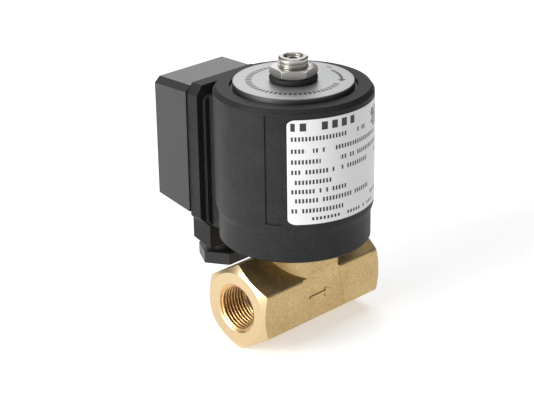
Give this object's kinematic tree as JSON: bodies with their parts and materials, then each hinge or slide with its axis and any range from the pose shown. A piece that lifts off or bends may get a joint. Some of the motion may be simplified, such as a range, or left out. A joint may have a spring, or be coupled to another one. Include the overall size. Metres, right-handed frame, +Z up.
{
  "type": "solenoid valve",
  "caption": "Black cylindrical coil with terminal box and cable gland on a hexagonal brass valve body with threaded pipe ports and a flow regulating screw on top.",
  "frame": {"origin": "centre of the inlet port's mouth, on the flow axis", "axes": "+X along the flow towards the outlet, +Z up along the stem and coil, +Y towards the terminal box"},
  "size_m": [0.057, 0.0774, 0.0973],
  "materials": {
    "body_brass": "blasted forged brass, machined ends",
    "steel": "turned steel",
    "dark_steel": "black phosphated steel",
    "nickel": "nickel plate",
    "stainless": "drawn stainless steel",
    "copper": "bare copper",
    "rubber": "black nitrile rubber",
    "nylon": "glass-filled black nylon",
    "cover_plastic": "smooth black plastic",
    "bobbin_plastic": "natural glass-filled nylon",
    "enamel": "enamelled copper wire",
    "tape": "yellow polyester tape",
    "dial": "satin aluminium with grey print",
    "label": "white printed film",
    "contact_brass": "bright brass"
  },
  "bodies": {
    "valve": {"valve_body": "body_brass", "inlet_strainer": "stainless", "boss_o_ring": "rubber", "guide_tube": "stainless", "fixed_core": "nickel", "shading_ring": "copper"},
    "plunger_unit": {"plunger": "steel", "seat_disc": "rubber", "return_spring": "stainless"},
    "lift_rod": {"stop_rod": "contact_brass"},
    "flow_screw": {"regulating_screw": "nickel", "screw_o_ring": "rubber"},
    "coil_unit": {"coil_housing": "nylon", "bobbin": "bobbin_plastic", "winding": "enamel", "winding_tape": "tape", "yoke_sleeve": "dark_steel", "bottom_plate": "dark_steel", "top_plate": "dark_steel", "dial_disc": "dial", "rating_label": "label", "cushion_ring": "rubber", "terminal_block": "cover_plastic", "terminal_pins": "contact_brass", "earth_pin": "contact_brass", "terminal_clamps": "contact_brass", "terminal_screws": "nickel", "gland_seal": "rubber"},
    "nut_unit": {"lock_nut": "nickel"},
    "slip_washer": {"gland_washer": "bobbin_plastic"},
    "gland_unit": {"gland_screw": "nylon"},
    "cover_unit": {"terminal_cover": "cover_plastic", "cover_gasket": "rubber"},
    "cover_fixing": {"cover_screw": "nickel"}
  },
  "joints": [
    {"name": "plunger_lift", "type": "slide", "parent": "valve", "child": "plunger_unit", "axis": [0, 0, 1], "range_m": [0, 0.003], "stiffness_N_per_m": 400, "springref_m": -0.008, "deforming": ["return_spring"]},
    {"name": "rod_travel", "type": "slide", "parent": "valve", "child": "lift_rod", "axis": [0, 0, 1], "range_m": [-0.002, 0]},
    {"name": "flow_screw_turn", "type": "hinge", "parent": "lift_rod", "child": "flow_screw", "pos_m": [0.0285, 0, 0.076], "axis": [0, 0, 1], "range_deg": [-720, 0]},
    {"name": "coil_swivel", "type": "hinge", "parent": "valve", "child": "coil_unit", "pos_m": [0.0285, 0, 0.045], "axis": [0, 0, 1], "range_deg": [-40, 40]},
    {"name": "lock_nut_turn", "type": "hinge", "parent": "valve", "child": "nut_unit", "pos_m": [0.0285, 0, 0.0777], "axis": [0, 0, 1], "range_deg": [0, 90]},
    {"name": "gland_washer_travel", "type": "slide", "parent": "coil_unit", "child": "slip_washer", "axis": [0, 0, 1], "range_m": [0, 0.00208], "deforming": ["gland_seal"]},
    {"name": "gland_screw_turn", "type": "hinge", "parent": "slip_washer", "child": "gland_unit", "pos_m": [0.0285, 0.03615, 0.005], "axis": [0, 0, 1], "range_deg": [0, 500]},
    {"name": "cover_pull", "type": "slide", "parent": "coil_unit", "child": "cover_unit", "axis": [0, 1, 0], "range_m": [0, 0.03]},
    {"name": "cover_screw_turn", "type": "hinge", "parent": "cover_unit", "child": "cover_fixing", "pos_m": [0.0285, 0.045, 0.0608], "axis": [0, 1, 0], "continuous": true}
  ],
  "couplings": [
    {"joint": "flow_screw_turn", "follows": "rod_travel", "rad_per_m": 6283.2},
    {"joint": "gland_screw_turn", "follows": "gland_washer_travel", "rad_per_m": 4188.8}
  ]
}
